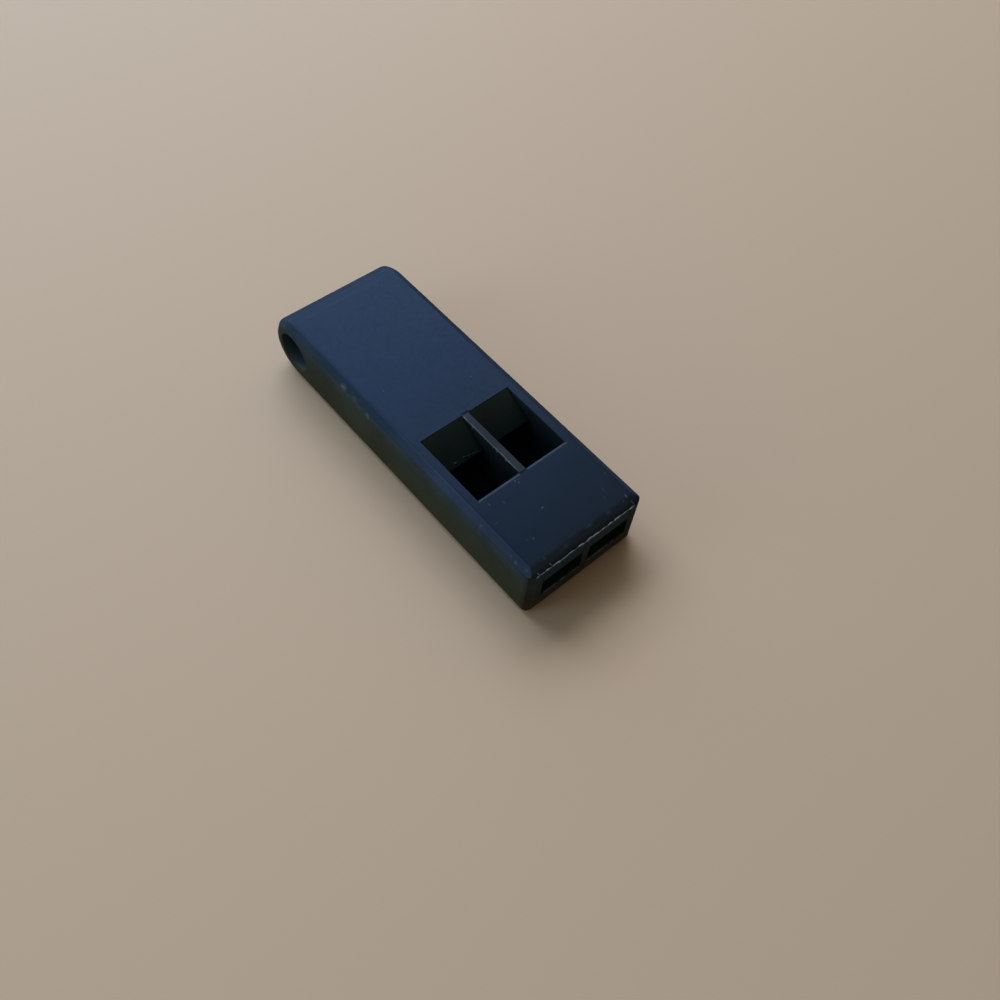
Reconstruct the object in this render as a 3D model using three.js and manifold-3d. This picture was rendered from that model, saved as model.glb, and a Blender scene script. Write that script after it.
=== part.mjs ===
// Emergency whistle: a flat whistle with two chambers and no ball, bonded from nine pieces.
// A lidded shell holds a centre partition and, in each of the two lanes beside it, a windway block,
// a labium blade and a pitch plug. Millimetres, +Z up, +X towards the mouth, and the player's left is -Y.
// The origin lies on the underside, below the middle of the whistle.

import * as THREE from 'three';
import { mergeVertices } from 'three/addons/utils/BufferGeometryUtils.js';
import Module from 'manifold-3d';

const wasm = await Module();
wasm.setup();

// Outside
const length = 57;
const width = 20;
const height = 10;
const edgeChamfer = 0.92; // all round both side faces
const lipRoundLength = 1.8; // front edges, measured back from the mouth
const lipRoundDrop = 0.82; // front edges, measured from the top and the underside
const eyeBore = 6; // lanyard eye across the half-round end

// Walls
const sideWall = 2.36;
const floorThickness = 1.4;
const roofThickness = 1.6;
const partitionThickness = 1.2;
const eyeWall = 1.4; // between the eye and the chambers

// Mouth and windways
const mouthLength = 13; // front face to the windows
const slotHeight = 3.6; // each mouth slot, centred on the height
const sillDepth = 2.4; // lower lip, front to back
const jetHeight = 1.3; // windway where it opens into the window

// Windows and labium blades
const windowLength = 11.8;
const bladeReach = 4.9; // blade's edge from the far edge of its window
const bladeDrop = 2.3; // blade's edge below the top face
const bladeEdge = 0.25; // bluntness of the edge
const bladeFoot = 3; // bonded under the cover, behind the window
const bladeRoot = 1.7; // thickness of the foot

// Pitch plugs
const leftPlugLength = 4;
const rightPlugLength = 8;
const plugLeadIn = 0.5;

// Joints between the pieces
const tongueDepth = 0.45; // partition in the grooves of shell and cover
const slideFit = 0.1; // beside a piece that slides into place
const glueLine = 0.05; // between bonded faces

// Curves
const arcSteps = 12;
const lipSteps = 6;
const boreSides = 48;

// Places that follow from the sizes
const front = length / 2;
const halfWidth = width / 2;
const middle = height / 2;
const eyeX = -front + middle; // the half-round end is centred on the eye
const chamberRear = eyeX + eyeBore / 2 + eyeWall;
const windowNear = front - mouthLength;
const windowFar = windowNear - windowLength;
const sillRear = front - sillDepth;
const slotTop = middle + slotHeight / 2;
const slotBottom = middle - slotHeight / 2;
const roof = height - roofThickness;
const seam = height - edgeChamfer; // the cover rests on the shell's walls here
const halfCavity = halfWidth - sideWall;
const halfPartition = partitionThickness / 2;
const laneWidth = halfCavity - halfPartition;
const laneCentre = halfPartition + laneWidth / 2;
const pastEdge = 1; // how far a cut runs past the face it opens

// A closed three.js geometry as a solid that can be joined and cut.
function solid(geometry) {
  geometry.deleteAttribute('normal');
  geometry.deleteAttribute('uv');
  const merged = mergeVertices(geometry);
  return new wasm.Manifold(new wasm.Mesh({
    numProp: 3,
    vertProperties: new Float32Array(merged.attributes.position.array),
    triVerts: new Uint32Array(merged.index.array),
  }));
}

function box(low, high) {
  const geometry = new THREE.BoxGeometry(high[0] - low[0], high[1] - low[1], high[2] - low[2]);
  geometry.translate((low[0] + high[0]) / 2, (low[1] + high[1]) / 2, (low[2] + high[2]) / 2);
  return solid(geometry);
}

// A side view, drawn in X and Z, given a width along Y about the middle plane.
function sidePrism(shape, halfDepth, chamfer = 0) {
  const depth = 2 * (halfDepth - chamfer);
  const geometry = new THREE.ExtrudeGeometry(shape, {
    depth,
    curveSegments: arcSteps,
    bevelEnabled: chamfer > 0,
    bevelSegments: 1,
    bevelThickness: chamfer,
    bevelSize: chamfer,
    bevelOffset: -chamfer,
  });
  geometry.translate(0, 0, -depth / 2);
  geometry.rotateX(Math.PI / 2);
  return solid(geometry);
}

function outline(points) {
  return new THREE.Shape(points.map(([x, z]) => new THREE.Vector2(x, z)));
}

// Side view of the whole whistle: square in front, a half-round about the eye behind.
function wholeSideView() {
  const shape = new THREE.Shape();
  shape.moveTo(front, 0);
  shape.lineTo(front, height);
  shape.absarc(eyeX, middle, middle, Math.PI / 2, 3 * Math.PI / 2, false);
  return shape;
}

// What the rounding takes off the upper or lower front edge.
function lipCut(level) {
  const radius = (lipRoundLength ** 2 + lipRoundDrop ** 2) / (2 * lipRoundDrop);
  const turn = Math.acos(1 - lipRoundDrop / radius);
  const start = front - lipRoundLength;
  const points = [];
  for (let step = 0; step <= lipSteps; step += 1) {
    const angle = (turn * step) / lipSteps;
    points.push([start + radius * Math.sin(angle), level(radius * (1 - Math.cos(angle)))]);
  }
  points.push([front + pastEdge, level(lipRoundDrop)]);
  points.push([front + pastEdge, level(-pastEdge)]);
  points.push([start, level(-pastEdge)]);
  return sidePrism(outline(points), halfWidth + pastEdge);
}

function wholeBody() {
  return sidePrism(wholeSideView(), halfWidth, edgeChamfer)
    .subtract(lipCut((drop) => height - drop))
    .subtract(lipCut((rise) => rise));
}

function between(lowZ, highZ) {
  return box([-length, -width, lowZ], [length, width, highZ]);
}

// Floor, side walls, lower lip and the end with the lanyard eye.
function bodyShell() {
  const inside = sidePrism(outline([
    [chamberRear, floorThickness],
    [sillRear, floorThickness],
    [sillRear, slotBottom],
    [front + pastEdge, slotBottom],
    [front + pastEdge, height + pastEdge],
    [chamberRear, height + pastEdge],
  ]), halfCavity);
  const eye = new THREE.CylinderGeometry(eyeBore / 2, eyeBore / 2, width + 2 * pastEdge, boreSides);
  eye.translate(eyeX, 0, middle);
  const grooveHalf = halfPartition + slideFit;
  const partitionGroove = box(
    [chamberRear - tongueDepth - glueLine, -grooveHalf, floorThickness - tongueDepth],
    [sillRear, grooveHalf, height + pastEdge],
  );
  return wholeBody()
    .intersect(between(-pastEdge, seam - glueLine))
    .subtract(inside)
    .subtract(solid(eye))
    .subtract(partitionGroove);
}

// Chamfered top with a spigot that drops between the walls; its front is the upper lip and windway roof.
function topCover() {
  const body = wholeBody();
  const rim = body.intersect(between(seam, height + pastEdge));
  const spigot = sidePrism(outline([
    [chamberRear + slideFit, roof],
    [windowNear, roof],
    [front, slotTop],
    [front + pastEdge, slotTop],
    [front + pastEdge, height],
    [chamberRear + slideFit, height],
  ]), halfCavity - slideFit).intersect(body);
  const windows = box(
    [windowFar, -halfCavity, -pastEdge],
    [windowNear, halfCavity, height + pastEdge],
  );
  const partitionGroove = sidePrism(outline([
    [chamberRear, -pastEdge],
    [front + pastEdge, -pastEdge],
    [front + pastEdge, slotTop + tongueDepth],
    [front, slotTop + tongueDepth],
    [windowNear, roof + tongueDepth],
    [chamberRear, roof + tongueDepth],
  ]), halfPartition + slideFit);
  return rim.add(spigot).subtract(windows).subtract(partitionGroove);
}

// Wall between the lanes, tongued into floor and cover; its crest parts the windows, flush with the top.
function centrePartition() {
  const foot = floorThickness - tongueDepth + glueLine;
  const tongueTop = tongueDepth - glueLine;
  const rear = chamberRear - tongueDepth;
  return sidePrism(outline([
    [rear, foot],
    [sillRear - slideFit, foot],
    [sillRear - slideFit, slotBottom + glueLine],
    [front, slotBottom + glueLine],
    [front, slotTop + tongueTop],
    [windowNear, roof + tongueTop],
    [windowNear - slideFit, roof + tongueTop],
    [windowNear - slideFit, height],
    [windowFar + slideFit, height],
    [windowFar + slideFit, roof + tongueTop],
    [rear, roof + tongueTop],
  ]), halfPartition);
}

// The inner pieces fill one lane from the partition to the side wall.
const laneFill = laneWidth / 2 - slideFit;

// Floor of the windway: rises from the lower lip until only the jet's height is left under the roof.
function windwayBlock() {
  return sidePrism(outline([
    [windowNear, floorThickness + glueLine],
    [sillRear - slideFit, floorThickness + glueLine],
    [sillRear - slideFit, slotBottom],
    [windowNear, roof - jetHeight],
  ]), laneFill);
}

// Ramp down from the window's far edge to the edge that splits the jet, on a foot under the cover.
function labiumBlade() {
  const shoulder = windowFar + slideFit;
  const edgeX = windowFar + bladeReach;
  const edgeZ = height - bladeDrop;
  return sidePrism(outline([
    [windowFar - bladeFoot, roof - bladeRoot],
    [edgeX, edgeZ - bladeEdge],
    [edgeX, edgeZ],
    [shoulder, height],
    [shoulder, roof - glueLine],
    [windowFar - bladeFoot, roof - glueLine],
  ]), laneFill);
}

// Closes the rear of a chamber; its length sets the pitch.
function pitchPlug(plugLength) {
  const rear = chamberRear + glueLine;
  const face = chamberRear + plugLength;
  const low = floorThickness + glueLine;
  const high = roof - glueLine;
  return sidePrism(outline([
    [rear, low + plugLeadIn],
    [rear + plugLeadIn, low],
    [face, low],
    [face, high],
    [rear + plugLeadIn, high],
    [rear, high - plugLeadIn],
  ]), laneFill, plugLeadIn);
}

const whistle = new THREE.Group();

function addPiece(name, piece, colour, roughness, y = 0) {
  const cut = piece.getMesh();
  const geometry = new THREE.BufferGeometry();
  geometry.setAttribute('position', new THREE.BufferAttribute(cut.vertProperties, 3));
  geometry.setIndex(new THREE.BufferAttribute(cut.triVerts, 1));
  geometry.computeVertexNormals();
  const material = new THREE.MeshStandardMaterial({ color: colour, roughness, metalness: 0, flatShading: true });
  const mesh = new THREE.Mesh(geometry, material);
  mesh.name = name;
  mesh.position.y = y;
  whistle.add(mesh);
}

const shellBlack = 0x1b1d1f;
const coverBlack = 0x1c2024;
const partitionBlack = 0x26292c;
const innerBlack = 0x121415;

addPiece('body_shell', bodyShell(), shellBlack, 0.55);
addPiece('top_cover', topCover(), coverBlack, 0.45);
addPiece('centre_partition', centrePartition(), partitionBlack, 0.6);
for (const [side, y, plugLength] of [
  ['left', -laneCentre, leftPlugLength],
  ['right', laneCentre, rightPlugLength],
]) {
  addPiece(`${side}_windway_block`, windwayBlock(), innerBlack, 0.65, y);
  addPiece(`${side}_labium_blade`, labiumBlade(), innerBlack, 0.6, y);
  addPiece(`${side}_pitch_plug`, pitchPlug(plugLength), innerBlack, 0.65, y);
}

export default whistle;
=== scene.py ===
# Looks of the emergency whistle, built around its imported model. Metres, +Z up, +X towards the mouth.
import math
import random

import bmesh
import bpy
from mathutils import Matrix, Vector


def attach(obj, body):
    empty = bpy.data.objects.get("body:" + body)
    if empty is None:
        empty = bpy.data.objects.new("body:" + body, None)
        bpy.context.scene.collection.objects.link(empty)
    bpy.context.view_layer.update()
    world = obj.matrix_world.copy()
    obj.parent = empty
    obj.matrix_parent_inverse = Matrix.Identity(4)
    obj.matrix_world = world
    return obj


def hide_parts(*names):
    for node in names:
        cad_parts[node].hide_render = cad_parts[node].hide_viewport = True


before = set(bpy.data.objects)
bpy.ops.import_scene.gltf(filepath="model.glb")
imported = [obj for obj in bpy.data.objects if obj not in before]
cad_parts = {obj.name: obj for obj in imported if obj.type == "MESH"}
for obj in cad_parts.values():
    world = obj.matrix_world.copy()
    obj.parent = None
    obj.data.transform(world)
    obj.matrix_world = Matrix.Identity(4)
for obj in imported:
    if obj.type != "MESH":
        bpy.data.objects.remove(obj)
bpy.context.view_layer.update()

MM = 0.001

# Outside, as the model's solids have it
LENGTH = 57 * MM
WIDTH = 20 * MM
HEIGHT = 10 * MM
EDGE_CHAMFER = 0.92 * MM
LIP_ROUND_LENGTH = 1.8 * MM
LIP_ROUND_DROP = 0.82 * MM
EYE_BORE = 6 * MM

# Walls
SIDE_WALL = 2.36 * MM
FLOOR = 1.4 * MM
ROOF = 1.6 * MM
PARTITION = 1.2 * MM
EYE_WALL = 1.4 * MM

# Mouth, windows and blades
MOUTH_LENGTH = 13 * MM
SLOT_HEIGHT = 3.6 * MM
SILL_DEPTH = 2.4 * MM
WINDOW_LENGTH = 11.8 * MM
BLADE_REACH = 4.9 * MM
BLADE_DROP = 2.3 * MM
BLADE_EDGE = 0.25 * MM
BLADE_FOOT = 3 * MM
BLADE_ROOT = 1.7 * MM

# Joints between the pieces
TONGUE = 0.45 * MM
SLIDE_FIT = 0.1 * MM
GLUE_LINE = 0.05 * MM
SHUT_LINE = 0.02 * MM  # shown between closed pieces, finer than the model's fits
CREST_LET_IN = 0.4 * MM  # crest of the partition, let into the cover at both ends

# Rounded edges
CHAMFER_ROUND = 0.3 * MM
HOLD = EDGE_CHAMFER + CHAMFER_ROUND + 0.1 * MM  # lines this far in hold the rounding at the corners
WINDOW_ROUND = 0.4 * MM  # near edge of the windows
SLOT_ROUND = 0.2 * MM
EYE_ROUND = 0.2 * MM
CREST_ROUND = 0.12 * MM
OUTER_ROUND = 0.1 * MM
LIP_EDGE_ROUND = 0.06 * MM
INNER_ROUND = 0.03 * MM
WIDEST_ROUND = WINDOW_ROUND
SHARP_ANGLE = math.radians(30)  # sharper edges than this get a rounding
SMOOTH_ANGLE = math.radians(40)

# Fineness
END_STEPS = 20
CHAMFER_STEPS = 4
ROUND_STEPS = 3
LIP_STEPS = 9
EYE_SIDES = 72
THREAD_SIDES = 6
PAST_EDGE = 1 * MM  # how far a cut runs past the face it opens
TINY = 0.001 * MM

# Places that follow from the sizes
FRONT = LENGTH / 2
HALF_WIDTH = WIDTH / 2
MIDDLE = HEIGHT / 2
EYE_X = -FRONT + MIDDLE
CHAMBER_REAR = EYE_X + EYE_BORE / 2 + EYE_WALL
WINDOW_NEAR = FRONT - MOUTH_LENGTH
WINDOW_FAR = WINDOW_NEAR - WINDOW_LENGTH
SILL_REAR = FRONT - SILL_DEPTH
SLOT_TOP = MIDDLE + SLOT_HEIGHT / 2
SLOT_BOTTOM = MIDDLE - SLOT_HEIGHT / 2
ROOF_LEVEL = HEIGHT - ROOF
SEAM = HEIGHT - EDGE_CHAMFER
HALF_CAVITY = HALF_WIDTH - SIDE_WALL
HALF_PARTITION = PARTITION / 2
LANE_CENTRE = (HALF_CAVITY + HALF_PARTITION) / 2
LANE_FILL = (HALF_CAVITY - HALF_PARTITION) / 2 - SLIDE_FIT
LIP_RADIUS = (LIP_ROUND_LENGTH ** 2 + LIP_ROUND_DROP ** 2) / (2 * LIP_ROUND_DROP)


def deselect_all():
    if bpy.context.mode != "OBJECT":
        bpy.ops.object.mode_set(mode="OBJECT")
    bpy.ops.object.select_all(action="DESELECT")


def take_up(piece):
    """Makes a piece the one that the next operators act on."""
    deselect_all()
    piece.select_set(True)
    bpy.context.view_layer.objects.active = piece


def edit(piece, kind="EDGE"):
    take_up(piece)
    bpy.ops.object.mode_set(mode="EDIT")
    bpy.ops.mesh.select_mode(type=kind)
    bpy.ops.mesh.select_all(action="DESELECT")
    return bmesh.from_edit_mesh(piece.data)


def done(piece):
    bmesh.update_edit_mesh(piece.data)


def merge(piece):
    """Merges points that lie on one another."""
    edit(piece)
    bpy.ops.mesh.select_all(action="SELECT")
    bpy.ops.mesh.remove_doubles(threshold=TINY)
    bpy.ops.object.mode_set(mode="OBJECT")


def block(name, low, high):
    """A block between two corners, with its place in its mesh."""
    deselect_all()
    low, high = Vector(low), Vector(high)
    bpy.ops.mesh.primitive_cube_add(size=1, location=(low + high) / 2, scale=high - low)
    piece = bpy.context.active_object
    piece.name = name
    bpy.ops.object.transform_apply(location=True, rotation=True, scale=True)
    return piece


def bevel_edges(piece, wanted, width, steps):
    """Bevels the edges that pass the test."""
    mesh = edit(piece)
    for edge in mesh.edges:
        if wanted(edge):
            edge.select_set(True)
    done(piece)
    bpy.ops.mesh.bevel(offset=width, segments=steps, affect="EDGES", clamp_overlap=False)
    merge(piece)


def slice_off(piece, point, normal):
    """Takes off what lies on the normal's side of a plane, and closes the cut."""
    edit(piece)
    bpy.ops.mesh.select_all(action="SELECT")
    bpy.ops.mesh.bisect(
        plane_co=point, plane_no=normal, use_fill=True, clear_outer=True, threshold=TINY)
    bpy.ops.object.mode_set(mode="OBJECT")


def score(piece, point, normal, wanted=lambda face: True):
    """Splits the faces that pass the test along a plane and takes nothing off."""
    mesh = edit(piece, "FACE")
    for face in mesh.faces:
        if wanted(face):
            face.select_set(True)
    done(piece)
    bpy.ops.mesh.bisect(plane_co=point, plane_no=normal, threshold=TINY)
    bpy.ops.object.mode_set(mode="OBJECT")


def copy_of(piece, name):
    take_up(piece)
    bpy.ops.object.duplicate(linked=False)
    copy = bpy.context.active_object
    copy.name = name
    return copy


def combine(piece, tool, operation):
    """Cuts or joins a piece with a tool body, which is used up."""
    take_up(piece)
    modifier = piece.modifiers.new("Shape", "BOOLEAN")
    modifier.operation = operation
    modifier.solver = "EXACT"
    modifier.object = tool
    bpy.ops.object.modifier_apply(modifier=modifier.name)
    bpy.data.objects.remove(tool)


def arc_points(level):
    """Points of the rounded front edge, from the flat to the front face."""
    turn = math.acos(1 - LIP_ROUND_DROP / LIP_RADIUS)
    points = []
    for step in range(LIP_STEPS + 1):
        angle = turn * step / LIP_STEPS
        drop = LIP_RADIUS * (1 - math.cos(angle))
        x = FRONT - LIP_ROUND_LENGTH + LIP_RADIUS * math.sin(angle)
        points.append(Vector((x, 0, level(drop))))
    return points


def whole_form():
    """The whole outside: half-round end, chamfered sides and rounded lips."""
    form = block("whole_form", (-FRONT, -HALF_WIDTH, 0), (FRONT, HALF_WIDTH, HEIGHT))

    def is_end_edge(edge):
        across = abs(edge.verts[0].co.y - edge.verts[1].co.y) > WIDTH / 2
        return across and all(v.co.x < -FRONT + TINY for v in edge.verts)

    bevel_edges(form, is_end_edge, MIDDLE, END_STEPS)

    def is_side_edge(edge):
        sides = [abs(face.normal.y) > 0.9 for face in edge.link_faces]
        return any(sides) and not all(sides)

    bevel_edges(form, is_side_edge, EDGE_CHAMFER, 1)

    def borders_chamfer(edge):
        a, b = (v.co.y for v in edge.verts)
        from_side = HALF_WIDTH - abs(a)
        return abs(a - b) < TINY and (from_side < TINY or abs(from_side - EDGE_CHAMFER) < TINY)

    bevel_edges(form, borders_chamfer, CHAMFER_ROUND, CHAMFER_STEPS)
    for level in (lambda drop: HEIGHT - drop, lambda rise: rise):
        points = arc_points(level)
        for a, b in zip(points, points[1:]):
            outward = Vector((abs(b.z - a.z), 0, b.x - a.x))
            if a.z < MIDDLE:
                outward.z = -outward.z
            slice_off(form, a, outward.normalized())
    for side in (-1, 1):
        score(form, (0, side * (HALF_WIDTH - HOLD), 0), (0, 1, 0))
        score(form, (0, 0, MIDDLE + side * (MIDDLE - HOLD)), (0, 0, 1), lambda face: (
            face.normal.x > 0.1 and abs(face.normal.z) < 0.1))
    score(form, (FRONT - LIP_ROUND_LENGTH - CHAMFER_ROUND, 0, 0), (1, 0, 0))
    return form


def side_prism(name, outline, half_width, centre_y=0.0):
    """A side view, given as X and Z, drawn out along Y."""
    deselect_all()
    bpy.ops.mesh.primitive_circle_add(vertices=len(outline), radius=MM, fill_type="NGON")
    piece = bpy.context.active_object
    piece.name = name
    for vertex, (x, z) in zip(piece.data.vertices, outline):
        vertex.co = (x, centre_y - half_width, z)
    edit(piece, "FACE")
    bpy.ops.mesh.select_all(action="SELECT")
    bpy.ops.mesh.extrude_region_move(TRANSFORM_OT_translate={"value": (0, 2 * half_width, 0)})
    bpy.ops.mesh.select_all(action="SELECT")
    bpy.ops.mesh.normals_make_consistent(inside=False)
    bpy.ops.object.mode_set(mode="OBJECT")
    return piece


def soften(piece, width_at):
    """Rounds the sharp outer edges, each by the width for its place."""
    mesh = edit(piece)
    weights = mesh.edges.layers.float.new("bevel_weight_edge")
    for edge in mesh.edges:
        if len(edge.link_faces) == 2 and edge.calc_face_angle_signed() > SHARP_ANGLE:
            middle = (edge.verts[0].co + edge.verts[1].co) / 2
            edge[weights] = width_at(middle) / WIDEST_ROUND
    done(piece)
    take_up(piece)
    rounding = piece.modifiers.new("Edges", "BEVEL")
    rounding.width = WIDEST_ROUND
    rounding.segments = ROUND_STEPS
    rounding.limit_method = "WEIGHT"
    rounding.use_clamp_overlap = False
    bpy.ops.object.modifier_apply(modifier=rounding.name)
    merge(piece)
    bpy.ops.object.shade_smooth_by_angle(angle=SMOOTH_ANGLE)
    weighted = piece.modifiers.new("Normals", "WEIGHTED_NORMAL")
    weighted.keep_sharp = True
    bpy.ops.object.modifier_apply(modifier=weighted.name)


def paint(piece, order, finish, wanted):
    """Gives the faces that pass the test another of the piece's finishes."""
    index = order.index(finish)
    for face in piece.data.polygons:
        if wanted(face.center, face.normal):
            face.material_index = index


def dress(piece, order, nodes=()):
    """Gives a piece its finishes and hands it to the frame, in place of the nodes that it stands for."""
    for finish in order:
        piece.data.materials.append(finishes[finish])
    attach(piece, "root")
    if nodes:
        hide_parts(*nodes)


def from_eye(place):
    """How far a place lies from the axis of the lanyard eye."""
    return math.hypot(place.x - EYE_X, place.z - MIDDLE)


# Finishes that each piece has, the first all over it and the others painted on
SHELL_FINISHES = ["shell", "mouth", "inner", "eye", "crest", "rim", "shaded_chamber"]
COVER_FINISHES = [
    "cover", "mouth", "inner", "edge", "rim", "shoulder", "lip_shade_start", "lip_shade_bend", "lip_shade_fall"]
PARTITION_FINISHES = ["inner", "mouth", "crest", "cover"]


def body_shell(form):
    """Floor, side walls, lower lip and the end with the lanyard eye."""
    shell = copy_of(form, "whistle_body")
    slice_off(shell, (0, 0, SEAM - SHUT_LINE), (0, 0, 1))
    inside = side_prism("inside", [
        (CHAMBER_REAR, FLOOR),
        (SILL_REAR, FLOOR),
        (SILL_REAR, SLOT_BOTTOM),
        (FRONT + PAST_EDGE, SLOT_BOTTOM),
        (FRONT + PAST_EDGE, HEIGHT + PAST_EDGE),
        (CHAMBER_REAR, HEIGHT + PAST_EDGE),
    ], HALF_CAVITY)
    combine(shell, inside, "DIFFERENCE")
    groove = HALF_PARTITION + SHUT_LINE
    combine(shell, block(
        "groove",
        (CHAMBER_REAR - TONGUE - GLUE_LINE, -groove, FLOOR - TONGUE),
        (SILL_REAR, groove, HEIGHT + PAST_EDGE),
    ), "DIFFERENCE")
    deselect_all()
    bpy.ops.mesh.primitive_cylinder_add(
        vertices=EYE_SIDES, radius=EYE_BORE / 2, depth=WIDTH + 2 * PAST_EDGE,
        location=(EYE_X, 0, MIDDLE), rotation=(math.pi / 2, 0, 0),
    )
    eye = bpy.context.active_object
    bpy.ops.object.transform_apply(location=True, rotation=True, scale=True)
    combine(shell, eye, "DIFFERENCE")

    def width_at(place):
        if from_eye(place) < EYE_BORE / 2 + TINY:
            return EYE_ROUND
        if place.x > FRONT - TINY and abs(place.y) < HALF_CAVITY + TINY:
            return SLOT_ROUND if place.z < SLOT_BOTTOM + TINY else 0
        if place.x > FRONT - TINY and place.z < MIDDLE:
            return OUTER_ROUND
        return 0

    soften(shell, width_at)
    # Round end: painted bluish sheen in place of gloss
    paint(shell, SHELL_FINISHES, "rim", lambda place, normal: (
        normal.x < -0.3 and place.x < EYE_X and from_eye(place) > EYE_BORE / 2 + EYE_ROUND + TINY))
    # Front faces: painted reflection and shade
    paint(shell, SHELL_FINISHES, "mouth", lambda place, normal: (
        normal.x > 0.6 and place.x > FRONT - EDGE_CHAMFER))
    paint(shell, SHELL_FINISHES, "crest", lambda place, normal: (
        abs(place.y) < HALF_CAVITY + TINY and place.x > FRONT - SLOT_ROUND - TINY
        and normal.z > 0.2 and place.z > MIDDLE / 2))
    # Inside: painted shade
    paint(shell, SHELL_FINISHES, "inner", lambda place, normal: (
        abs(place.y) < HALF_CAVITY + TINY and place.z > FLOOR - TONGUE - TINY
        and CHAMBER_REAR - TONGUE - GLUE_LINE - TINY < place.x < FRONT - SLOT_ROUND))
    # Chamber floor: painted shade with a bluish tint
    paint(shell, SHELL_FINISHES, "shaded_chamber", lambda place, normal: (
        abs(place.y) < HALF_CAVITY and place.z < FLOOR + TINY and CHAMBER_REAR < place.x < SILL_REAR
        and normal.z > 0.9))
    # Eye bore: painted light on its lower wall and painted shade deeper in
    paint(shell, SHELL_FINISHES, "eye", lambda place, normal: (
        from_eye(place) < EYE_BORE / 2 + TINY and abs(normal.y) < 0.9))
    return shell


def top_cover(form):
    """Chamfered top with its spigot, the window opening and the upper lip."""
    cover = copy_of(form, "whistle_cover")
    below = block("below", (-LENGTH, -WIDTH, -PAST_EDGE), (FRONT + PAST_EDGE / 2, WIDTH, SEAM))
    spigot = side_prism("spigot", [
        (CHAMBER_REAR + SLIDE_FIT, ROOF_LEVEL),
        (WINDOW_NEAR, ROOF_LEVEL),
        (FRONT, SLOT_TOP),
        (FRONT + PAST_EDGE, SLOT_TOP),
        (FRONT + PAST_EDGE, HEIGHT),
        (CHAMBER_REAR + SLIDE_FIT, HEIGHT),
    ], HALF_CAVITY - SLIDE_FIT)
    combine(below, spigot, "DIFFERENCE")
    combine(cover, below, "DIFFERENCE")
    combine(cover, block(
        "windows",
        (WINDOW_FAR, -HALF_CAVITY, 0),
        (WINDOW_NEAR, HALF_CAVITY, HEIGHT + PAST_EDGE),
    ), "DIFFERENCE")
    groove = side_prism("groove", [
        (CHAMBER_REAR, 0),
        (FRONT + PAST_EDGE, 0),
        (FRONT + PAST_EDGE, SLOT_TOP + TONGUE),
        (FRONT, SLOT_TOP + TONGUE),
        (WINDOW_NEAR, ROOF_LEVEL + TONGUE),
        (CHAMBER_REAR, ROOF_LEVEL + TONGUE),
    ], HALF_PARTITION + SHUT_LINE)
    combine(cover, groove, "DIFFERENCE")
    notch = HALF_PARTITION + SHUT_LINE
    combine(cover, block(
        "notch",
        (WINDOW_FAR - CREST_LET_IN, -notch, 0),
        (WINDOW_NEAR + CREST_LET_IN, notch, HEIGHT + PAST_EDGE),
    ), "DIFFERENCE")

    def beside_notch(place):
        return notch < abs(place.y) < HALF_CAVITY + TINY

    def in_window(place):
        return WINDOW_FAR - TINY < place.x < WINDOW_NEAR + TINY and beside_notch(place)

    def width_at(place):
        if in_window(place) and place.z > HEIGHT - TINY:
            return WINDOW_ROUND if place.x > WINDOW_NEAR - TINY else OUTER_ROUND
        if place.x > FRONT - TINY and place.z > SEAM + TINY:
            return LIP_EDGE_ROUND
        return 0

    soften(cover, width_at)
    # Rounded front edge: bands of painted shading
    for finish, least in (("lip_shade_start", 0.04), ("lip_shade_bend", 0.2), ("lip_shade_fall", 0.37)):
        paint(cover, COVER_FINISHES, finish, lambda place, normal: (
            normal.x > least and normal.z > 0.5 and place.x > FRONT - LIP_ROUND_LENGTH - TINY))
    inner_line = HALF_WIDTH - HOLD
    # Left chamfer: painted bluish sheen
    paint(cover, COVER_FINISHES, "shoulder", lambda place, normal: (
        place.y < -inner_line and normal.y < -0.25 and normal.z > 0.1))
    # Right chamfer and round end: painted bluish sheen in place of gloss
    paint(cover, COVER_FINISHES, "rim", lambda place, normal: (
        normal.z > 0.1 and place.y > inner_line and normal.y > 0.3
        or normal.z > 0.1 and place.x < EYE_X and normal.x < -0.37))
    # Front of the upper lip: painted reflection and shade
    paint(cover, COVER_FINISHES, "mouth", lambda place, normal: (
        normal.x > 0.9 and place.x > FRONT - OUTER_ROUND))
    # Underside and inside walls: painted shade
    paint(cover, COVER_FINISHES, "inner", lambda place, normal: (
        normal.z < -0.5
        or abs(normal.z) < 0.3 and abs(place.y) < HALF_CAVITY + TINY and place.x < FRONT - OUTER_ROUND))
    # Near window edges and the lip's edge: lighter, partly rubbed plastic and partly a painted highlight
    paint(cover, COVER_FINISHES, "edge", lambda place, normal: (
        WINDOW_NEAR - TINY < place.x < WINDOW_NEAR + WINDOW_ROUND and beside_notch(place)
        and -0.95 < normal.x < -0.1 and place.z > HEIGHT - 2 * WINDOW_ROUND))
    paint(cover, COVER_FINISHES, "edge", lambda place, normal: (
        place.x > FRONT - LIP_EDGE_ROUND and 0.78 < normal.x < 0.98 and place.z > SEAM - LIP_EDGE_ROUND))
    return cover


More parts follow.
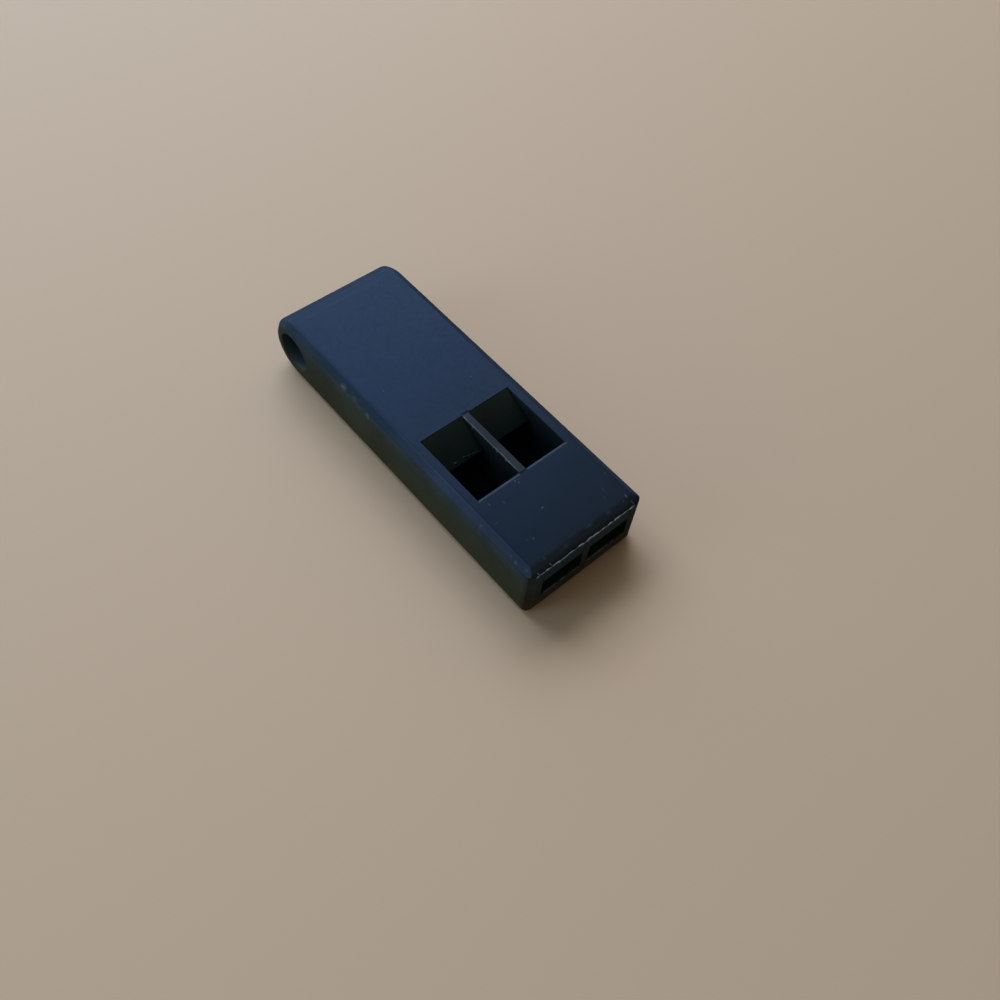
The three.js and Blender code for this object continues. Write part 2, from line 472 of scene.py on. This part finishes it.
def centre_partition():
    """Wall between the lanes; its crest parts the windows, flush with the top."""
    foot = FLOOR - TONGUE + GLUE_LINE
    tongue_top = TONGUE - GLUE_LINE
    rear = CHAMBER_REAR - TONGUE
    crest_end = CREST_LET_IN - SHUT_LINE
    lip_slope = (ROOF_LEVEL - SLOT_TOP) / MOUTH_LENGTH
    partition = side_prism("whistle_partition", [
        (rear, foot),
        (SILL_REAR - SLIDE_FIT, foot),
        (SILL_REAR - SLIDE_FIT, SLOT_BOTTOM + GLUE_LINE),
        (FRONT, SLOT_BOTTOM + GLUE_LINE),
        (FRONT, SLOT_TOP + tongue_top),
        (WINDOW_NEAR + crest_end, ROOF_LEVEL + tongue_top - crest_end * lip_slope),
        (WINDOW_NEAR + crest_end, HEIGHT),
        (WINDOW_FAR - crest_end, HEIGHT),
        (WINDOW_FAR - crest_end, ROOF_LEVEL + tongue_top),
        (rear, ROOF_LEVEL + tongue_top),
    ], HALF_PARTITION)
    for x in (WINDOW_FAR, WINDOW_NEAR):
        score(partition, (x, 0, 0), (1, 0, 0))

    def width_at(place):
        between = WINDOW_FAR < place.x < WINDOW_NEAR
        return CREST_ROUND if between and place.z > HEIGHT - TINY else 0

    soften(partition, width_at)

    def on_crest(place, normal):
        return place.z > HEIGHT - CREST_ROUND and normal.z > 0.3

    # The partition's first finish, all over, is painted shade; its front takes the mouth finish's
    # painted reflection and shade
    paint(partition, PARTITION_FINISHES, "mouth", lambda place, normal: (
        normal.x > 0.9 and place.x > FRONT - OUTER_ROUND))
    paint(partition, PARTITION_FINISHES, "crest", on_crest)
    paint(partition, PARTITION_FINISHES, "cover", lambda place, normal: (
        on_crest(place, normal) and not WINDOW_FAR < place.x < WINDOW_NEAR))
    return partition


def labium_blade(name, y):
    """Ramp down from the window's far edge to the edge that splits the jet."""
    shoulder = WINDOW_FAR + SHUT_LINE
    edge_x = WINDOW_FAR + BLADE_REACH
    edge_z = HEIGHT - BLADE_DROP
    blade = side_prism(name, [
        (WINDOW_FAR - BLADE_FOOT, ROOF_LEVEL - BLADE_ROOT),
        (edge_x, edge_z - BLADE_EDGE),
        (edge_x, edge_z),
        (shoulder, HEIGHT),
        (shoulder, ROOF_LEVEL - GLUE_LINE),
        (WINDOW_FAR - BLADE_FOOT, ROOF_LEVEL - GLUE_LINE),
    ], LANE_FILL, y)
    soften(blade, lambda place: INNER_ROUND)
    return blade


def strand(points, thick):
    """A thin closed thread of plastic through points, as thick at each point as given."""
    deselect_all()
    points = [Vector(point) for point in points]
    lie = (points[1] - points[0]).to_track_quat("Z", "Y").to_euler()
    bpy.ops.mesh.primitive_circle_add(
        vertices=THREAD_SIDES, radius=thick[0] / 2, fill_type="NGON", location=points[0], rotation=lie)
    thread = bpy.context.active_object
    bpy.ops.object.transform_apply(location=True, rotation=True, scale=True)
    edit(thread, "FACE")
    bpy.ops.mesh.select_all(action="SELECT")
    for step in range(1, len(points)):
        move = points[step] - points[step - 1]
        bpy.ops.mesh.extrude_region_move(TRANSFORM_OT_translate={"value": move})
        change = thick[step] / thick[step - 1]
        bpy.ops.transform.resize(value=(change, change, change), center_override=points[step])
    bpy.ops.mesh.select_all(action="SELECT")
    bpy.ops.mesh.normals_make_consistent(inside=False)
    bpy.ops.object.mode_set(mode="OBJECT")
    return thread


def gather(name, threads):
    """Joins threads into one piece."""
    deselect_all()
    for thread in threads:
        thread.select_set(True)
    bpy.context.view_layer.objects.active = threads[0]
    bpy.ops.object.join()
    threads[0].name = name
    bpy.ops.object.shade_smooth()
    return threads[0]


def lip_x(z):
    """Front of the upper lip at a height."""
    drop = max(HEIGHT - z, 0)
    if drop > LIP_ROUND_DROP:
        return FRONT
    return FRONT - LIP_ROUND_LENGTH + math.sqrt(LIP_RADIUS ** 2 - (LIP_RADIUS - drop) ** 2)


# Bead along the upper lip, in millimetres
LIP_BEAD_START = -8.9
LIP_BEAD_END = 8.7
LIP_BEAD_LEVEL = 9.24
LIP_TAIL_LEVEL = 9.28


def lip_bead():
    """Ragged bead of plastic that the nozzle left along the upper lip's edge."""
    draw = random.Random(5)
    points, thick = [], []
    y = LIP_BEAD_START
    while y < LIP_BEAD_END:
        z = (LIP_BEAD_LEVEL + draw.uniform(-0.03, 0.04)) * MM
        points.append((lip_x(z), y * MM, z))
        thick.append(draw.choice((0.06, 0.14, 0.22, 0.3)) * MM)
        y += draw.uniform(0.18, 0.6)
    tails = []
    for y, rise in ((-8.4, 0.3), (-6.3, 0.35), (8.3, 0.45)):
        z = LIP_TAIL_LEVEL * MM
        tip = z + rise * MM
        tail = [(lip_x(z), y * MM, z), (lip_x(tip) + 0.03 * MM, (y - 0.15) * MM, tip)]
        tails.append(strand(tail, [0.12 * MM, 0.06 * MM]))
    return gather("lip_bead", [strand(points, thick), *tails])


def sill_beads():
    """Ragged beads along the lower edges of the two mouth slots."""
    draw = random.Random(23)
    beads = []
    for side in (-1, 1):
        points, thick = [], []
        y = HALF_PARTITION / MM + 0.2
        while y < HALF_CAVITY / MM - 0.1:
            rise = draw.uniform(-0.02, 0.03) * MM
            points.append((FRONT - 0.04 * MM, side * y * MM, SLOT_BOTTOM - 0.06 * MM + rise))
            thick.append(draw.choice((0.08, 0.14, 0.2, 0.24)) * MM)
            y += draw.uniform(0.25, 0.8)
        beads.append(strand(points, thick))
    return gather("sill_beads", beads)


def crest_threads():
    """Ragged bead along the left edge of the partition's crest, and fine threads that stand off it."""
    draw = random.Random(11)
    points, thick = [], []
    x = WINDOW_FAR / MM + 0.3
    while x < WINDOW_NEAR / MM - 0.2:
        points.append((x * MM, draw.uniform(-0.5, -0.42) * MM, HEIGHT - 0.02 * MM))
        thick.append(draw.choice((0.07, 0.1, 0.13, 0.16)) * MM)
        x += draw.uniform(0.25, 0.7)
    threads = [strand(points, thick)]
    for x in (6.1, 8.5, 9.1, 10.4, 11.2, 12.8):
        root = Vector((x * MM, -HALF_PARTITION + 0.03 * MM, HEIGHT - 0.06 * MM))
        bend = root + MM * Vector((
            draw.uniform(-0.15, 0.2), -draw.uniform(0.04, 0.12), draw.uniform(-0.1, 0.0)))
        tip = bend + MM * Vector((
            draw.uniform(-0.2, 0.2), -draw.uniform(0.02, 0.12), -draw.uniform(0.1, 0.3)))
        threads.append(strand([root, bend, tip], [0.1 * MM, 0.08 * MM, 0.05 * MM]))
    return gather("crest_threads", threads)


def blade_burrs():
    """A burr and a loose thread that lie along the edge of the left labium blade."""
    slope = BLADE_DROP / BLADE_REACH
    # place across, distance back from the edge and width, in millimetres
    burr = [(-5.45, 0.5, 0.08), (-5.3, 0.48, 0.26), (-5.15, 0.46, 0.24), (-5.0, 0.44, 0.08)]
    loose_thread = [
        (-4.0, 0.4, 0.06), (-3.75, 0.55, 0.22), (-3.5, 0.5, 0.26), (-3.2, 0.38, 0.14), (-2.9, 0.42, 0.1),
        (-2.4, 0.3, 0.12), (-1.9, 0.27, 0.08), (-1.4, 0.15, 0.1), (-1.0, 0.12, 0.06),
    ]
    threads = []
    for run in (burr, loose_thread):
        points, thick = [], []
        for y, back, width in run:
            x = WINDOW_FAR + BLADE_REACH - back * MM
            points.append((x, y * MM, HEIGHT - (x - WINDOW_FAR) * slope))
            thick.append(width * MM)
        threads.append(strand(points, thick))
    return gather("blade_burrs", threads)


finishes = {}  # each finish by its name

# Patterns of the plastic
LAYER_HEIGHT = 0.2 * MM
PATCH_SIZE = 6 * MM
GRAIN_SIZE = 0.35 * MM
RAG_SIZE = 0.25 * MM
ROUGHNESS_SWING = 0.05
FINE_GRAIN = 0.006 * MM
ROUGH_GRAIN = 0.01 * MM
WORN_GRAIN = 0.012 * MM
CREST_GRAIN = 0.02 * MM
FAINT_LAYERS = 0.002 * MM
CLEAR_LAYERS = 0.004 * MM
# Blue tint on every reflection, standing in for blue sky light: painted reflection colour
SHEEN_TINT = (0.206, 0.51, 1.0, 1)
MARK_GREY = (0.088, 0.091, 0.094)


def node(tree, kind, links=(), **values):
    """A shader node with its settings, its inputs' values and the links into it."""
    made = tree.nodes.new("ShaderNode" + kind)
    for key, value in values.items():
        if hasattr(made, key):
            setattr(made, key, value)
        else:
            made.inputs[key.replace("_", " ")].default_value = value
    for socket, source in links:
        tree.links.new(source, made.inputs[socket])
    return made


def spread(tree, value, low, high, to_low, to_high):
    """A value's range mapped to another, and held at its ends."""
    return node(tree, "MapRange", [("Value", value)], From_Min=low, From_Max=high,
                To_Min=to_low, To_Max=to_high).outputs[0]


def blend(tree, share, first, second, way="MIX"):
    """Two colours mixed, each given as a colour or a socket."""
    mix = node(tree, "Mix", data_type="RGBA", blend_type=way)
    for index, value in ((0, share), (6, first), (7, second)):
        if isinstance(value, bpy.types.NodeSocket):
            tree.links.new(value, mix.inputs[index])
        else:
            mix.inputs[index].default_value = value if index == 0 else (*value, 1)
    return mix.outputs[2]


def mottle(tree, place, size, detail):
    """Soft noise with patches of a given size."""
    return node(tree, "TexNoise", [("Vector", place)], Scale=1 / size, Detail=detail).outputs[0]


def mark_mask(tree, place, marks):
    """How far a place lies inside any of the marks, each a centre, half-sizes and a strength.

    The marks are ragged at the rim.
    """
    ragged = spread(tree, mottle(tree, place, RAG_SIZE, 3), 0.3, 0.7, -0.4, 0.4)
    mask = None
    for centre, half, strength in marks:
        away = node(tree, "VectorMath", [(0, place)], operation="SUBTRACT")
        away.inputs[1].default_value = Vector(centre) * MM
        scaled = node(tree, "VectorMath", [(0, away.outputs[0])], operation="DIVIDE")
        scaled.inputs[1].default_value = Vector(half) * MM
        length = node(tree, "VectorMath", [(0, scaled.outputs[0])], operation="LENGTH")
        distance = length.outputs["Value"]
        rough = node(tree, "Math", [(0, distance), (1, ragged)], operation="ADD").outputs[0]
        inside = spread(tree, rough, 0.4, 1.0, strength, 0)
        if mask is not None:
            inside = node(tree, "Math", [(0, mask), (1, inside)], operation="MAXIMUM").outputs[0]
        mask = inside
    return mask


def plastic(name, dark, light, roughness, gloss, grain=0.0, layers=0.0, painted_light_fades=(), marks=()):
    """Adds a finish of black printed plastic: slight mottling, a fine grain and faint layer lines.

    Each fade is painted light and shade: an axis, the places on it where it starts and ends, in
    millimetres, and the colour that it multiplies in at its end. Across the width it runs alike to both
    sides.
    """
    material = bpy.data.materials.new(f"{name}_finish")
    material.use_nodes = True
    tree = material.node_tree
    shader = tree.nodes["Principled BSDF"]
    shader.inputs["Specular IOR Level"].default_value = gloss
    shader.inputs["Specular Tint"].default_value = SHEEN_TINT
    place = node(tree, "TexCoord").outputs["Object"]
    axes = node(tree, "SeparateXYZ", [("Vector", place)]).outputs
    patches = mottle(tree, place, PATCH_SIZE, 4)
    colour = blend(tree, spread(tree, patches, 0.35, 0.65, 0, 1), dark, light)
    # Painted light and shade: each fade multiplies a colour gradient into the base colour
    for axis, start, stop, end_tint in painted_light_fades:
        along = axes[axis]
        if axis == "Y":
            along = node(tree, "Math", [(0, along)], operation="ABSOLUTE").outputs[0]
        tint = blend(tree, spread(tree, along, start * MM, stop * MM, 0, 1), (1, 1, 1), end_tint)
        colour = blend(tree, 1.0, colour, tint, "MULTIPLY")
    if marks:
        colour = blend(tree, mark_mask(tree, place, marks), colour, MARK_GREY)
    tree.links.new(colour, shader.inputs["Base Color"])
    fine = mottle(tree, place, GRAIN_SIZE, 2)
    dull = spread(tree, fine, 0.3, 0.7, roughness - ROUGHNESS_SWING, roughness + ROUGHNESS_SWING)
    tree.links.new(dull, shader.inputs["Roughness"])
    turns = node(tree, "Math", [(0, axes["Z"])], operation="MULTIPLY")
    turns.inputs[1].default_value = 2 * math.pi / LAYER_HEIGHT
    waves = node(tree, "Math", [(0, turns.outputs[0])], operation="SINE").outputs[0]
    lines = node(tree, "Bump", [("Height", waves)], Strength=1.0, Distance=layers)
    grained = node(
        tree, "Bump", [("Height", fine), ("Normal", lines.outputs[0])], Strength=1.0, Distance=grain)
    tree.links.new(grained.outputs[0], shader.inputs["Normal"])
    finishes[name] = material


# Specks, scratches and rubs: centre and half-sizes in millimetres, and strength
EDGE_SCUFFS = [
    ((-10.8, -10, 9.1), (0.75, 0.6, 0.6), 0.65),
    ((-8.2, -10, 9), (0.75, 0.5, 0.5), 0.3),
    ((-7.1, -10, 8.4), (0.6, 0.5, 0.45), 0.2),
    ((-5.1, -10, 8.4), (0.5, 0.5, 0.8), 0.65),
]
TOP_MARKS = [
    ((21.5, -1.8, 10), (0.1, 0.2, 0.2), 0.8),
    ((24.2, -5.8, 10), (0.14, 0.14, 0.2), 0.6),
    ((26.9, 8, 10), (0.35, 0.16, 0.2), 0.7),
    ((27.3, 7.2, 9.9), (0.2, 0.2, 0.2), 0.25),
    ((16.2, -1.9, 10), (0.24, 0.12, 0.2), 0.5),
    ((16.7, -1.6, 10), (0.2, 0.1, 0.2), 0.4),
    ((16.3, -1.4, 10), (0.1, 0.2, 0.2), 0.4),
    ((17.8, -5.2, 10), (0.3, 0.3, 0.2), 0.14),
    ((16.9, -6.9, 10), (0.3, 0.12, 0.2), 0.25),
    ((19.6, -8.1, 10), (0.16, 0.3, 0.2), 0.14),
    ((23.9, -6.5, 10), (0.14, 0.14, 0.2), 0.2),
    ((-6.2, -6.3, 10), (0.24, 0.1, 0.2), 0.35),
    ((-1, 4.9, 10), (0.14, 0.14, 0.2), 0.4),
    ((24.4, 6.3, 10), (0.75, 0.1, 0.2), 0.2),
    ((25.3, 5.6, 10), (0.4, 0.1, 0.2), 0.18),
    ((22.6, 8.4, 10), (0.14, 0.14, 0.2), 0.3),
    ((27.2, 1.1, 9.9), (0.25, 0.6, 0.3), 0.16),
    ((27.3, 4.4, 9.9), (0.3, 0.5, 0.3), 0.16),
    ((27.5, -3.2, 9.8), (0.3, 0.8, 0.3), 0.12),
    ((27.2, -6.6, 9.9), (0.3, 0.3, 0.3), 0.14),
    ((18.5, -9.6, 9.5), (0.3, 0.25, 0.3), 0.25),
    ((24.2, -9.5, 9.5), (0.2, 0.3, 0.35), 0.25),
    ((25.2, -9.6, 9.4), (0.35, 0.3, 0.35), 0.4),
    ((27, -9.3, 9.6), (0.4, 0.3, 0.35), 0.25),
    *EDGE_SCUFFS,
]
SIDE_MARKS = [
    *EDGE_SCUFFS,
    ((18.5, -10, 8.4), (0.2, 0.4, 0.3), 0.25),
    ((25.2, -10, 8.6), (0.3, 0.4, 0.3), 0.3),
]

# Side walls: near-black plastic whose olive tone is partly painted warm light from the floor; the fades
# paint a bluer, lighter reflection towards the top
plastic(
    "shell", (0.0287, 0.0287, 0.0152), (0.0371, 0.0371, 0.0201),
    roughness=0.6, gloss=0.0265, grain=FINE_GRAIN, layers=FAINT_LAYERS,
    painted_light_fades=[
        ("Z", 2, 7, (0.82, 1.0, 1.5)),
        ("Z", 7, 9, (1.05, 1.2, 1.75)),
    ],
    marks=SIDE_MARKS)
# Top: near-black plastic; its bluish tone and the fades are painted sky sheen, lighter over the round
# end, warmer and darker towards the mouth
plastic(
    "cover", (0.0063, 0.0091, 0.0141), (0.0071, 0.0104, 0.0159),
    roughness=0.38, gloss=0.114, grain=FINE_GRAIN,
    painted_light_fades=[
        ("X", -23.6, -25.3, (1.3, 1.3, 1.25)),
        ("X", -6, 6, (1.5, 1.08, 0.7)),
        ("X", 11, 18, (0.7, 0.78, 0.7)),
    ],
    marks=TOP_MARKS)
# Front faces: the fades paint a bluer reflection towards the top, warm light from the floor towards the
# bottom and shade at the corners
plastic(
    "mouth", (0.0297, 0.0324, 0.0216), (0.0395, 0.0421, 0.0284),
    roughness=0.65, gloss=0.0118, grain=FINE_GRAIN, layers=FAINT_LAYERS,
    painted_light_fades=[
        ("Z", 3.5, 8, (0.78, 1.25, 2.1)),
        ("Z", 3.2, 1.2, (1.5, 1.3, 1.2)),
        ("Y", 9, 9.3, (0.68, 0.55, 0.5)),
    ])
# Round end and right chamfer: gloss taken out and a bluish sheen painted in, bluer and lighter towards
# the end, warmer lower down: painted reflection and shade
plastic(
    "rim", (0.0212, 0.0265, 0.0347), (0.0253, 0.0312, 0.04),
    roughness=0.6, gloss=0.0, grain=FINE_GRAIN,
    painted_light_fades=[
        ("X", -19, -24, (1.15, 1.27, 1.42)),
        ("Z", 8.2, 6.5, (1.02, 0.9, 0.48)),
        ("Z", 6.5, 2, (1.2, 1.0, 0.69)),
    ])
# Left chamfer of the top: its bluish tone and the fades are painted sheen, lighter at the far end and
# past the middle, darker towards the mouth
plastic(
    "shoulder", (0.0101, 0.0162, 0.0225), (0.0127, 0.0193, 0.0267),
    roughness=0.5, gloss=0.159, grain=FINE_GRAIN,
    painted_light_fades=[
        ("X", -14, -20, (1.5, 1.35, 1.3)),
        ("X", -1, 7, (1.95, 1.5, 1.5)),
        ("X", 12, 26, (0.7, 0.72, 0.68)),
    ],
    marks=TOP_MARKS)
# Bands down the rounded front edge of the top, less glossy step by step: painted shading of the rounding
# in place of its reflections
for name, dark, light, gloss in (
    ("lip_shade_start", (0.0108, 0.0124, 0.0141), (0.012, 0.0139, 0.0161), 0.0824),
    ("lip_shade_bend", (0.0113, 0.0128, 0.0135), (0.0131, 0.0146, 0.0158), 0.0471),
    ("lip_shade_fall", (0.0126, 0.0159, 0.0171), (0.0153, 0.0185, 0.0194), 0.0294),
):
    plastic(name, dark, light, roughness=0.45, gloss=gloss, grain=FINE_GRAIN, marks=TOP_MARKS)
# Lighter edge on the near window edges and the upper lip: partly rubbed plastic, partly a painted
# highlight
plastic(
    "edge", (0.0294, 0.0306, 0.0271), (0.0529, 0.0559, 0.0529),
    roughness=0.45, gloss=0.118, grain=WORN_GRAIN)
plastic(
    "crest", (0.0235, 0.0234, 0.0224), (0.041, 0.04, 0.0382),
    roughness=0.6, gloss=0.0706, grain=CREST_GRAIN)
# Bore of the lanyard eye: the light grey-teal is painted light on the lower wall, and the fades paint
# shade deeper in and higher up
plastic(
    "eye", (0.0541, 0.0693, 0.0663), (0.0693, 0.0859, 0.0809),
    roughness=0.6, gloss=0.0294, grain=ROUGH_GRAIN, layers=CLEAR_LAYERS,
    painted_light_fades=[
        ("Y", 9.35, 8.3, (0.52, 0.72, 1.05)),
        ("Z", 2.2, 5.2, (0.52, 0.62, 0.75)),
    ])
# Chamber floor seen through the windows: a darker copy of the plastic, painted shade with a painted
# bluish tint of sky light
plastic(
    "shaded_chamber", (0.0071, 0.0106, 0.0124), (0.0094, 0.0129, 0.0153),
    roughness=0.65, gloss=0.0294, grain=ROUGH_GRAIN, layers=CLEAR_LAYERS)
# Inside walls, partition, windway blocks and plugs: a darker copy of the plastic, painted shade
plastic(
    "inner", (0.0084, 0.0129, 0.0129), (0.0124, 0.0182, 0.0182),
    roughness=0.65, gloss=0.0294, grain=ROUGH_GRAIN, layers=CLEAR_LAYERS)
# Labium ramps inside the windows: a darker, olive copy of the plastic, painted shade, and the fade
# paints deeper shade towards the edge
plastic(
    "blade", (0.0097, 0.0126, 0.0079), (0.0138, 0.0169, 0.0109),
    roughness=0.65, gloss=0.0294, grain=ROUGH_GRAIN, layers=FAINT_LAYERS,
    painted_light_fades=[
        ("X", WINDOW_FAR / MM, (WINDOW_FAR + BLADE_REACH) / MM, (0.45, 0.5, 0.55)),
    ])
# Threads and beads, much lighter than the body: partly whitened plastic, partly a painted highlight
plastic(
    "strand", (0.0776, 0.0811, 0.0847), (0.142, 0.145, 0.149),
    roughness=0.5, gloss=0.176)
# Burr and thread on the left blade, lighter than the blade: partly whitened plastic, partly a painted
# glint
plastic(
    "burr", (0.0176, 0.0194, 0.0176), (0.0471, 0.05, 0.0471),
    roughness=0.5, gloss=0.118)

form = whole_form()
dress(body_shell(form), SHELL_FINISHES, ["body_shell"])
dress(top_cover(form), COVER_FINISHES, ["top_cover"])
dress(centre_partition(), PARTITION_FINISHES, ["centre_partition"])
for side, y in (("left", -LANE_CENTRE), ("right", LANE_CENTRE)):
    dress(labium_blade(f"{side}_blade", y), ["blade"], [f"{side}_labium_blade"])
    # Windway blocks and pitch plugs take the inner finish: painted shade
    for kind in ("windway_block", "pitch_plug"):
        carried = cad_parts[f"{side}_{kind}"]
        carried.data.materials.clear()
        carried.data.materials.append(finishes["inner"])
dress(lip_bead(), ["strand"])
dress(sill_beads(), ["strand"])
dress(crest_threads(), ["strand"])
dress(blade_burrs(), ["burr"])
bpy.data.objects.remove(form)

# Camera at the photograph's place
CAMERA_PLACE = Vector((64.04, -54.62, 113.85)) * MM
CAMERA_AIM = Vector((12.716, -0.609, 0)) * MM
CAMERA_ROLL = math.radians(6.85)
CAMERA_LENS = 34.73

camera_data = bpy.data.cameras.new("camera")
camera_data.lens = CAMERA_LENS
camera_data.clip_start = 5 * MM
camera = bpy.data.objects.new("camera", camera_data)
bpy.context.scene.collection.objects.link(camera)
aim = (CAMERA_PLACE - CAMERA_AIM).to_track_quat("Z", "Y").to_matrix()
turn = aim @ Matrix.Rotation(CAMERA_ROLL, 3, "Z")
camera.matrix_world = Matrix.Translation(CAMERA_PLACE) @ turn.to_4x4()
bpy.context.scene.camera = camera

# Floor
FLOOR_SPAN = 6
PALE_FLOOR = (0.488, 0.332, 0.2, 1)

deselect_all()
bpy.ops.mesh.primitive_plane_add(size=FLOOR_SPAN)
floor = bpy.context.active_object
floor.name = "floor"
floor_finish = bpy.data.materials.new("pale_floor")
floor_finish.use_nodes = True
floor_shader = floor_finish.node_tree.nodes["Principled BSDF"]
floor_shader.inputs["Base Color"].default_value = PALE_FLOOR
floor_shader.inputs["Roughness"].default_value = 0.7
floor_shader.inputs["Specular IOR Level"].default_value = 0.2
floor.data.materials.append(floor_finish)


def softbox(name, azimuth, elevation, distance, size, colour, power):
    """A soft lamp, aimed at the whistle; azimuth is from -X towards +Y."""
    lamp = bpy.data.lights.new(name, "AREA")
    lamp.shape = "RECTANGLE"
    lamp.size, lamp.size_y = size
    lamp.color = colour
    lamp.energy = power
    a, e = math.radians(azimuth), math.radians(elevation)
    back = Vector((-math.cos(a) * math.cos(e), math.sin(a) * math.cos(e), math.sin(e)))
    holder = bpy.data.objects.new(name, lamp)
    bpy.context.scene.collection.objects.link(holder)
    turn = back.to_track_quat("Z", "Y").to_matrix().to_4x4()
    holder.matrix_world = Matrix.Translation(back * distance) @ turn
    holder.visible_camera = False


# Degrees round and up, metres away, metres wide and high, colour, watts
softbox("window_light", 16, 48, 0.8, (0.8, 0.42), (0.63, 0.755, 1.0), 8.5)
softbox("sill_light", 12, 20, 0.8, (1.0, 0.4), (0.30, 0.57, 1.0), 3.4)
softbox("side_light", -74, 10, 0.7, (0.45, 0.22), (0.8, 0.95, 0.85), 1.45)
softbox("edge_light", -66, 27, 0.7, (0.28, 0.18), (0.26, 0.55, 1.0), 0.77)
softbox("ceiling_light", -42, 60, 0.8, (0.5, 0.45), (0.42, 0.68, 1.0), 0.85)
softbox("wall_light", 75, 32, 0.9, (0.5, 0.4), (1.0, 0.86, 0.7), 0.68)
softbox("room_light", -133, 50, 0.9, (0.8, 0.8), (1.0, 0.95, 0.88), 0.43)

world = bpy.data.worlds.new("studio")
bpy.context.scene.world = world
world.use_nodes = True
backdrop = world.node_tree.nodes["Background"]
backdrop.inputs["Color"].default_value = (1.0, 0.95, 0.88, 1)
backdrop.inputs["Strength"].default_value = 0.11
bpy.context.scene.view_settings.view_transform = "Standard"
